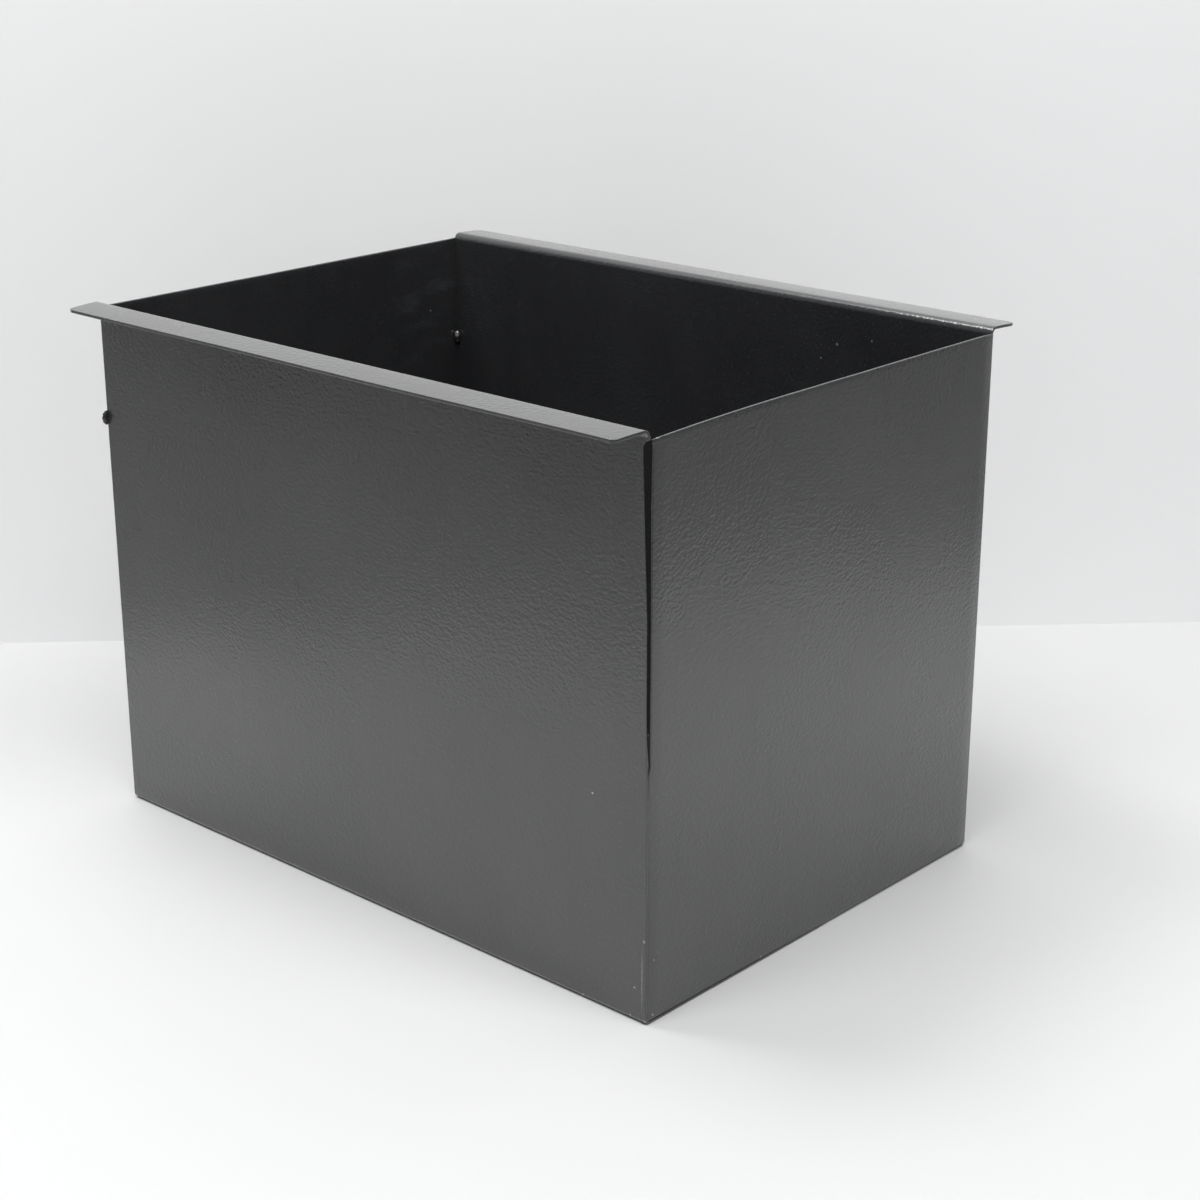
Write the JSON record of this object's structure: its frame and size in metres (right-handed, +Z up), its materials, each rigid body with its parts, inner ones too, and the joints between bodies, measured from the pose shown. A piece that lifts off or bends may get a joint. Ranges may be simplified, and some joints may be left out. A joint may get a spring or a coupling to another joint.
{
  "type": "parcel drop box bin",
  "caption": "Open-topped rectangular sheet-steel parcel bin with flat welded ends and two outward top flanges that hang it in a frame.",
  "frame": {"origin": "middle of the floor's underside, the surface the bin stands on", "axes": "+X along the flanges, +Y from the front wall to the rear wall, +Z up through the open top"},
  "size_m": [0.3, 0.237, 0.2222],
  "materials": {
    "charcoal_powder_coat": "charcoal textured powder coat, semi-gloss, over sheet steel",
    "coated_weld": "weld bead under the same charcoal powder coat"
  },
  "bodies": {
    "root": {"folded_sheet": "charcoal_powder_coat", "left_end_panel": "charcoal_powder_coat", "right_end_panel": "charcoal_powder_coat", "front_left_low_weld": "coated_weld", "front_left_high_weld": "coated_weld", "rear_left_low_weld": "coated_weld", "rear_left_high_weld": "coated_weld", "front_right_low_weld": "coated_weld", "front_right_high_weld": "coated_weld", "rear_right_low_weld": "coated_weld", "rear_right_high_weld": "coated_weld", "left_floor_weld_1": "coated_weld", "left_floor_weld_2": "coated_weld", "left_floor_weld_3": "coated_weld", "right_floor_weld_1": "coated_weld", "right_floor_weld_2": "coated_weld", "right_floor_weld_3": "coated_weld", "front_left_tack": "coated_weld", "rear_left_tack": "coated_weld"}
  },
  "joints": []
}
